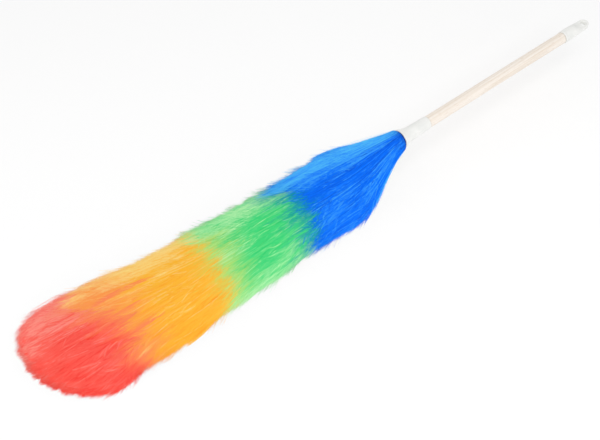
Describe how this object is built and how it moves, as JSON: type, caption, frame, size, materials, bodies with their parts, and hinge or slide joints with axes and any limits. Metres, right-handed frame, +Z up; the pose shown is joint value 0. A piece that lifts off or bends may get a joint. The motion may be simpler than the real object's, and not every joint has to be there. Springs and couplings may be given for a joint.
{
  "type": "fibre duster",
  "caption": "Long-fibre static duster: a soft banded head of blue, green, orange and red bundles on a core rod, joined by a white ferrule to a wooden handle with a hanging cap.",
  "frame": {"origin": "on the surface that the fibre head rests on, under the middle of the duster's whole length", "axes": "+X along the handle towards the hanging cap, so the fibre tip points along -X; +Z up, square to the flat tab of the cap"},
  "size_m": [0.6621, 0.0948, 0.0804],
  "materials": {
    "beech_wood": "satin",
    "white_plastic": "satin",
    "core_plastic": "satin",
    "binding_thread": "matte",
    "blue_fibre": "satin",
    "green_fibre": "satin",
    "orange_fibre": "satin",
    "red_fibre": "satin"
  },
  "bodies": {
    "root": {"handle": "beech_wood", "end_cap": "white_plastic", "ferrule": "white_plastic", "core_rod": "core_plastic", "blue_tuft": "blue_fibre", "blue_binding": "binding_thread", "green_tuft": "green_fibre", "green_binding": "binding_thread", "orange_tuft": "orange_fibre", "orange_binding": "binding_thread", "red_tuft": "red_fibre", "red_binding": "binding_thread"}
  },
  "joints": []
}
